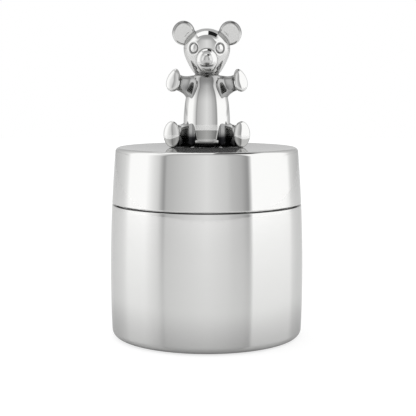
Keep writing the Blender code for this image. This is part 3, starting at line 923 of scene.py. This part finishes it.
# Painted shade on the upper rim; tarnish and painted shade in the joint.
rim_painted_shade, joint_tarnish_and_shade = 0.6, 0.5
for word, side in (("left", 1), ("right", -1)):
    coin = turned(ear_profile, ear_columns) * ear_oval
    grid = coin @ ear_axes(side) + ear_origin(side)
    outward = turned(ear_normals, ear_columns) @ ear_axes(side)
    spoke = grid - head_middle
    distance = np.linalg.norm(spoke, axis=-1)
    gap = distance - head_reach(spoke / distance[..., None])
    grid = grid + outward * fillet(gap)[..., None]
    # Painted shade along the upper rim, tarnish and painted shade in the joint with the head.
    rim_share = eased(ear_profile[:, :1], rim_start, rim_full)
    upper = eased(grid[..., 2] - ear_origin(side)[2], -rim_fade, rim_fade)
    ear_tarnish_and_shade = rim_painted_shade * rim_share * upper + joint_tarnish_and_shade * bump(gap, joint_width)
    add_piece(
        f"ear_{word}", grid, silver_plate, "lid", f"bear_ear_{word}",
        tarnish_and_painted_shade=np.clip(ear_tarnish_and_shade, 0, 1),
    )

# %% [markdown]
# ## The form of a limb
#
# A limb is a soft form on a bent axis: a bun at the end, a waist, and a root that flares
# where it runs into the trunk. The axis runs almost straight out to the side, and only its
# end turns to the front, so palms and soles face the camera at a slant. The section isn't
# round: a paw is an egg with the point upwards, a sole is an oval, and a leg's root is
# squarer. Behind the bun, painted shade darkens the limb, its lower side more than its
# upper, and more towards the root.

# %% The form of a limb
limb_reach = 12.75 * mm
end_turn = math.radians(30)
end_length = 1.0 * mm
limb_columns = 144
wrist = (1.8 * mm, 3.2 * mm)
flare = (4.2 * mm, 7.0 * mm)
bun_back = (1.9 * mm, 2.9 * mm)


def limb(
    outline, side, height, root_turn, bend_length, root_square, painted_shade_tones, root_painted_shade, shade,
    rise=0.0, paw_egg=0.0, root_egg=0.0, lean=0.0,
):
    """Grid and painted shade of a limb from its outer end to its root, its axis bent in plan.

    The axis starts at the trunk's own, with the heading root_turn, and ends with end_turn;
    its place is the running sum of (sin, -cos) of the heading. A section of half width a
    and half heights b above and c below is the rounded square (a cos v, b or c times sin v)
    / (|cos v|^n + |sin v|^n)^(1/n), made an egg by the factor 1 - k sin v on its width, and
    its top may lean inwards. Painted shade passes from its first tone on the upper side to
    its second on the lower, between the two heights of shade, with the root's own share added at
    the root.
    """
    line = flowing(outline, 200) * mm
    share = np.linspace(0, limb_reach, 801)
    turned_by = eased(share, limb_reach - end_length - bend_length, limb_reach - end_length)
    heading = root_turn + (end_turn - root_turn) * turned_by
    middle = (heading[1:] + heading[:-1]) / 2
    run_x = np.concatenate([[0], np.cumsum(np.sin(middle) * np.diff(share))])
    run_y = np.concatenate([[0], np.cumsum(-np.cos(middle) * np.diff(share))])
    here = limb_reach - line[:, 3]
    turn_here = np.interp(here, share, heading)
    origin = np.column_stack([
        side * np.interp(here, share, run_x) * math.cos(rise),
        np.interp(here, share, run_y) * math.cos(rise), here * math.sin(rise),
    ])
    level = np.column_stack([np.cos(turn_here), side * np.sin(turn_here), 0 * turn_here])
    upright = np.column_stack([
        -side * np.sin(turn_here) * math.sin(rise), np.cos(turn_here) * math.sin(rise),
        np.full(len(here), math.cos(rise)),
    ])
    turn = 2 * np.pi * np.arange(limb_columns)[None] / limb_columns
    at_root = eased(line[:, 3], *flare)[:, None]
    at_paw = 1 - eased(line[:, 3], *wrist)[:, None]
    power = 2 + root_square * at_root
    square = (np.abs(np.cos(turn)) ** power + np.abs(np.sin(turn)) ** power) ** (-1 / power)
    egg = paw_egg * at_paw + root_egg * at_root
    across = line[:, :1] * np.cos(turn) * square * (1 - egg * np.sin(turn))
    leaning = np.maximum(np.sin(turn), 0) ** 2 * line[:, 1:2] / line[:, 1].max()
    across = across - side * lean * at_paw * leaning
    up = np.where(np.sin(turn) > 0, line[:, 1:2], line[:, 2:3]) * np.sin(turn) * square
    grid = origin[:, None] + across[..., None] * level[:, None] + up[..., None] * upright[:, None]
    # Painted shade behind the bun: darker on the lower side and towards the root.
    shadow = 1 - eased(up, *shade)
    painted_darkness = painted_shade_tones[0] + (painted_shade_tones[1] - painted_shade_tones[0]) * shadow + root_painted_shade * at_root
    return grid + (0, 0, height), eased(line[:, 3:], *bun_back) * np.minimum(painted_darkness, 1)


# %% [markdown]
# ## Arms and legs
#
# Each outline is a list in millimetres: half the width, half the height above and below the
# axis, and the distance from the limb's outer end. The arms rise from the shoulders. The
# legs lie level, and their soles just clear the lid.

# %% Arms and legs
arm_outline = [
    (0, 0, 0, 0), (0.9, 1.2, 1.2, 0.02), (1.65, 2.3, 2.2, 0.15), (2.1, 3.1, 2.95, 0.38),
    (2.35, 3.65, 3.4, 0.75), (2.45, 3.85, 3.55, 1.2), (2.3, 3.7, 3.45, 1.6), (2.1, 3.3, 3.1, 2.0),
    (1.95, 2.8, 2.75, 2.5), (1.8, 2.5, 2.5, 3.2), (1.75, 2.4, 2.45, 4.0), (1.8, 2.5, 2.6, 4.9),
    (1.9, 2.75, 2.85, 5.7), (2.1, 3.05, 3.15, 6.3), (2.45, 3.3, 3.55, 6.8), (3.0, 3.5, 4.05, 7.3),
    (3.7, 3.6, 4.7, 7.8), (4.4, 3.7, 5.5, 8.3), (4.8, 3.7, 6.1, 8.8), (4.0, 3.2, 4.8, 9.6),
    (2.2, 2.0, 2.6, 10.3), (0, 0, 0, 10.7),
]
leg_outline = [
    (0, 0, 0, 0), (1.0, 1.3, 1.3, 0.02), (1.9, 2.5, 2.4, 0.16), (2.5, 3.4, 3.3, 0.40),
    (2.9, 4.05, 3.8, 0.75), (3.0, 4.3, 4.0, 1.2), (2.8, 4.2, 4.0, 1.65), (2.45, 3.85, 3.98, 2.05),
    (2.1, 3.4, 3.95, 2.5), (1.85, 3.1, 3.93, 3.1), (1.7, 3.0, 3.93, 3.8), (1.8, 3.1, 3.93, 4.5),
    (2.1, 3.4, 3.93, 5.1), (2.8, 3.8, 3.93, 5.6), (3.7, 4.2, 3.93, 6.1), (4.6, 4.6, 3.93, 6.6),
    (5.5, 5.0, 3.93, 7.2), (6.2, 5.2, 3.9, 7.9), (5.6, 4.6, 3.5, 8.8), (3.2, 2.8, 2.2, 9.8),
    (0, 0, 0, 10.2),
]
# Each limb's two tones of painted shade, upper and lower, and what the root adds.
limbs = {
    "arm": {
        "outline": arm_outline, "height": seat + torso_height * 0.782,
        "root_turn": math.radians(85), "bend_length": 4.2 * mm, "root_square": 0.3,
        "painted_shade_tones": (0.32, 0.48), "root_painted_shade": 0.12, "shade": (-1.0 * mm, 1.0 * mm),
        "rise": math.radians(16.5), "paw_egg": 0.22, "root_egg": 0.2, "lean": 0.25 * mm,
    },
    "leg": {
        "outline": leg_outline, "height": seat + 3.65 * mm,
        "root_turn": math.radians(83), "bend_length": 3.4 * mm, "root_square": 1.3,
        "painted_shade_tones": (0.28, 0.96), "root_painted_shade": 0.32, "shade": (-2.4 * mm, 1.6 * mm),
    },
}
for kind, form in limbs.items():
    for word, side in (("left", 1), ("right", -1)):
        grid, limb_painted_shade = limb(side=side, **form)
        add_piece(
            f"{kind}_{word}", grid, silver_plate, "lid", f"bear_{kind}_{word}",
            tarnish_and_painted_shade=limb_painted_shade,
        )

# %% [markdown]
# ## Velvet and felt
#
# Velvet is a dense woven pile that stands up from its backing: dark when looked straight
# into, with a pale sheen at a slant and broad strokes where it was brushed. Felt is pressed
# wool, matt and flecked, and so dark that the eye sees it as the shadow under the foot.

# %% Velvet and felt
brush_stroke = 7 * mm
pile_grain = 0.35 * mm
felt_fibre = 0.8 * mm


def two_tones(tree, value, low, high, dark, pale):
    """A colour that passes from dark to pale as the value passes from low to high."""
    ramp = add_node(tree, "ValToRGB", inputs={"Fac": value})
    for stop, position, colour in zip(ramp.color_ramp.elements, (low, high), (dark, pale)):
        stop.position = position
        stop.color = linear(colour)
    return ramp.outputs["Color"]


velvet, tree, place = new_material("navy_velvet_pile")
strokes = noise(tree, place, brush_stroke, 4.0, 0.6)
grain = noise(tree, place, pile_grain, 2.0, 0.7)
finish_with(tree, {
    "Base Color": two_tones(tree, strokes, 0.3, 0.7, "1b2340", "2f3b66"), "Roughness": 0.95,
    "Sheen Weight": 0.7, "Sheen Roughness": 0.35, "Sheen Tint": linear("7f8cc0"),
    "Normal": relief(tree, grain, 0.6, 0.25 * mm),
})

felt, tree, place = new_material("pressed_black_felt")
fibres = noise(tree, place, felt_fibre, 6.0, 0.7, 1.5)
finish_with(tree, {
    "Base Color": two_tones(tree, fibres, 0.35, 0.65, "131315", "2c2c30"), "Roughness": 1.0,
    "Sheen Weight": 0.3, "Normal": relief(tree, fibres, 0.7, 0.3 * mm),
})

# %% [markdown]
# ## Silicone, card and screw steel
#
# The grip ring is moulded in clear silicone, milky and softly shining: a pale line in its
# groove. The card under the floor pad is grey board with paper flecks. Screw and washer are
# zinc-plated steel, satin beside the mirror of the plate.

# %% Silicone, card and screw steel
silicone_cloud = 2.5 * mm
paper_fleck = 0.6 * mm
steel_mark = 0.5 * mm

silicone, tree, place = new_material("moulded_clear_silicone")
cloud = noise(tree, place, silicone_cloud, 3.0)
finish_with(tree, {
    "Base Color": two_tones(tree, cloud, 0.0, 1.0, "d4d6d5", "e6e7e6"), "Roughness": 0.3,
    "IOR": 1.41, "Subsurface Weight": 0.3, "Subsurface Scale": 0.6 * mm,
})

card, tree, place = new_material("grey_board_card")
flecks = noise(tree, place, paper_fleck, 5.0, 0.75)
finish_with(tree, {
    "Base Color": two_tones(tree, flecks, 0.3, 0.7, "a09c94", "bdb9b1"), "Roughness": 0.9,
})

steel, tree, place = new_material("rolled_screw_steel")
marks = noise(tree, place, steel_mark, 4.0, 0.6)
finish_with(tree, {
    "Base Color": linear("c8c9cb"), "Metallic": 1.0, "Roughness": spread(tree, marks, 0.22, 0.4),
})

# %% [markdown]
# ## Grip ring and velvet sleeve
#
# The ring lies loose in the collar's groove and has well-rounded edges. The sleeve is a
# strip of velvet, one millimetre thick, glued round the inside of the cup.

# %% Grip ring and velvet sleeve
grip_edge = 0.5 * mm
sleeve_thickness = 1.0 * mm
sleeve_edge = 0.35 * mm
grip_inner, grip_outer = groove_floor + fit_gap, grip_high[0]
grip_corners = [
    (grip_outer, grip_high[2]), (grip_outer, grip_low[2]), (grip_inner, grip_low[2]),
    (grip_inner, grip_high[2]),
]
add_piece(
    "clear_grip_ring", turned(softened(grip_corners, grip_edge, 8), fine_columns), silicone,
    "grip", "grip_ring", closed_rows=True,
)

sleeve_low, sleeve_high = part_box("wall_lining")
sleeve_inset = wall + fit_gap
sleeve_corners = np.vstack([
    barrel_run(sleeve_high[2], sleeve_low[2], sleeve_inset, 30),
    barrel_run(sleeve_high[2], sleeve_low[2], sleeve_inset + sleeve_thickness, 30)[::-1],
])
add_piece(
    "velvet_sleeve", turned(softened(sleeve_corners, sleeve_edge), fine_columns), velvet,
    "box", "wall_lining", closed_rows=True,
)

# %% [markdown]
# ## Pads and felt
#
# The velvet on the cup's floor and inside the lid is glued over wadding, so each face swells
# a little. The lid's pad has a pocket at its back, over the screw's head. The felt is a
# plain disc with broken edges.

# %% Pads and felt
def crowned(radius, flat, crown):
    """How far a pad's face has swollen at a radius: crown (1 - (r/R)^2)^2."""
    return crown * (1 - (radius / flat) ** 2) ** 2


floor_crown, floor_round = 0.35 * mm, 0.6 * mm
pad_low, pad_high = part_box("floor_lining")
flat = pad_high[0] - floor_round
face = np.linspace(0, flat, 40)[:-1]
floor_pad_profile = np.vstack([
    np.column_stack([face, pad_high[2] - floor_crown + crowned(face, flat, floor_crown)]),
    arc((flat, pad_high[2] - floor_crown - floor_round), floor_round, 90, 0, 10),
    arc((flat, pad_low[2] + floor_round), floor_round, 0, -90, 10),
    [(0, pad_low[2])],
])
floor_pad = add_piece(
    "velvet_floor_pad", turned(floor_pad_profile, fine_columns), velvet, "box",
    "floor_lining",
)

lid_crown, lid_round, back_edge = 0.3 * mm, 0.8 * mm, 0.3 * mm
pocket_radius, pocket_depth, pocket_edge = 3.8 * mm, 1.2 * mm, 0.1 * mm
pad_low, pad_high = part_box("lid_lining")
pocket_top = pad_low[2] + pocket_depth
flat = pad_high[0] - lid_round
face = np.linspace(flat, 0, 40)[1:]
lid_pad_profile = np.vstack([
    [(0, pocket_top), (pocket_radius - pocket_edge, pocket_top)],
    [(pocket_radius, pocket_top + pocket_edge), (pocket_radius, pad_high[2] - pocket_edge)],
    [(pocket_radius + pocket_edge, pad_high[2])],
    arc((pad_high[0] - back_edge, pad_high[2] - back_edge), back_edge, 90, 0, 6),
    arc((flat, pad_low[2] + lid_crown + lid_round), lid_round, 0, -90, 10),
    np.column_stack([face, pad_low[2] + lid_crown - crowned(face, flat, lid_crown)]),
])
lid_pad = add_piece(
    "velvet_lid_pad", turned(lid_pad_profile, fine_columns), velvet, "lid",
    "lid_lining",
)

felt_edge = 0.15 * mm
felt_low, felt_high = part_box("base_felt")
felt_flat = felt_high[0] - felt_edge
felt_profile = np.vstack([
    straight((0, felt_high[2]), (felt_flat, felt_high[2]), 8),
    arc((felt_flat, felt_high[2] - felt_edge), felt_edge, 90, 0, 4),
    arc((felt_flat, felt_low[2] + felt_edge), felt_edge, 0, -90, 4),
    straight((felt_flat, felt_low[2]), (0, felt_low[2]), 8)[1:],
])
add_piece("felt_disc", turned(felt_profile, 160), felt, "box", "base_felt")

# %% [markdown]
# ## Pieces that keep their CAD shape
#
# Card, screw and washer are plain parts that hardly show. The CAD's own shapes are right as
# they are and only get their finish.

# %% Finishes of the CAD pieces
for node, material in (("floor_card", card), ("figure_screw", steel), ("screw_washer", steel)):
    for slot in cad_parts[node].material_slots:
        slot.material = material
